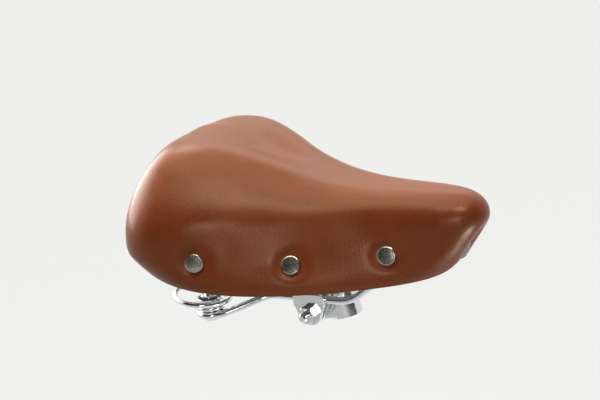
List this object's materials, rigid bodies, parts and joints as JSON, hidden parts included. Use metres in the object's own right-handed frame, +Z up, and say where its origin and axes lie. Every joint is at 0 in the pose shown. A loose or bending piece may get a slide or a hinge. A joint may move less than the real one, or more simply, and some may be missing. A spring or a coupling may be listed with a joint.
{
  "type": "sprung bicycle saddle",
  "caption": "Padded bicycle saddle with a riveted leatherette cover, coil springs under the rear wings, wire rails and a tilting, sliding clamp for a round post.",
  "frame": {"origin": "middle of the clamp collar's bore", "axes": "+X towards the nose along the level rails, +Y to the rider's left, +Z up"},
  "size_m": [0.2762, 0.207, 0.1581],
  "materials": {
    "leatherette": "semi-gloss, fine grain",
    "foam": "matt",
    "base_plastic": "satin",
    "nickel": "semi-gloss plated",
    "zinc": "bright zinc plated",
    "chrome": "polished"
  },
  "bodies": {
    "collar": {"clamp_collar": "zinc"},
    "clamp_head": {"right_inner_plate": "zinc", "left_inner_plate": "zinc", "right_outer_plate": "zinc", "left_outer_plate": "zinc", "clamp_stud": "zinc", "right_clamp_nut": "zinc", "left_clamp_nut": "zinc"},
    "rails": {"right_rail": "chrome", "left_rail": "chrome", "right_coil_spring": "chrome", "left_coil_spring": "chrome", "right_spring_bolt": "zinc", "left_spring_bolt": "zinc", "right_spring_cup": "chrome", "left_spring_cup": "chrome", "right_spring_nut": "zinc", "left_spring_nut": "zinc"},
    "seat": {"cover": "leatherette", "foam_pad": "foam", "base_shell": "base_plastic", "right_rivets": "nickel", "left_rivets": "nickel", "rivet_washers": "zinc", "nose_bracket": "zinc", "bracket_rivets": "zinc", "right_spring_clips": "zinc", "left_spring_clips": "zinc", "spring_clip_screws": "zinc"}
  },
  "joints": [
    {"name": "tilt", "type": "hinge", "parent": "collar", "child": "clamp_head", "pos_m": [-0.0162, 0, -0.00315], "axis": [0, -1, 0], "range_deg": [-15, 15]},
    {"name": "fore_aft", "type": "slide", "parent": "clamp_head", "child": "rails", "axis": [1, 0, 0], "range_m": [-0.01, 0.01]},
    {"name": "suspension", "type": "hinge", "parent": "rails", "child": "seat", "pos_m": [0.09834, 0, 0.066], "axis": [0, -1, 0], "range_deg": [0, 6], "stiffness_Nm_per_rad": 960, "springref_deg": -0.17, "deforming": ["right_coil_spring", "left_coil_spring"]}
  ]
}
